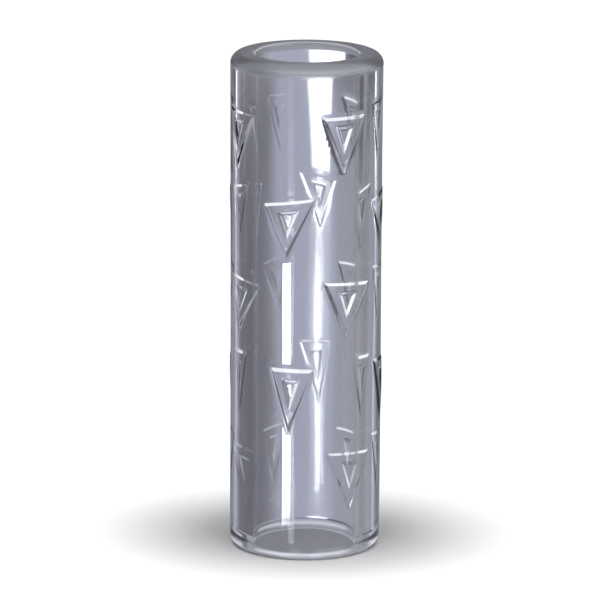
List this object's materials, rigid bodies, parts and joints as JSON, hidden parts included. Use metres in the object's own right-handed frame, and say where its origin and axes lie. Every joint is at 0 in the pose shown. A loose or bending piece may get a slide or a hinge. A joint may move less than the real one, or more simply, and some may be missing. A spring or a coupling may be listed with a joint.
{
  "type": "guitar slide",
  "caption": "Open glass tube worn on a finger and slid along guitar strings, with fire-polished rims and rows of small raised triangles.",
  "frame": {"origin": "middle of the lower rim's plane, on the bore's axis", "axes": "+Z along the bore, from the rim it stands on to the upper rim; the raised triangles point down; -Y faces the middle of a triangle of the second and fourth rows"},
  "size_m": [0.024, 0.024, 0.0762],
  "materials": {
    "clear_glass": "clear moulded glass, fire-polished and glossy, with a faint grey-lavender cast"
  },
  "bodies": {
    "root": {"glass_slide": "clear_glass"}
  },
  "joints": []
}
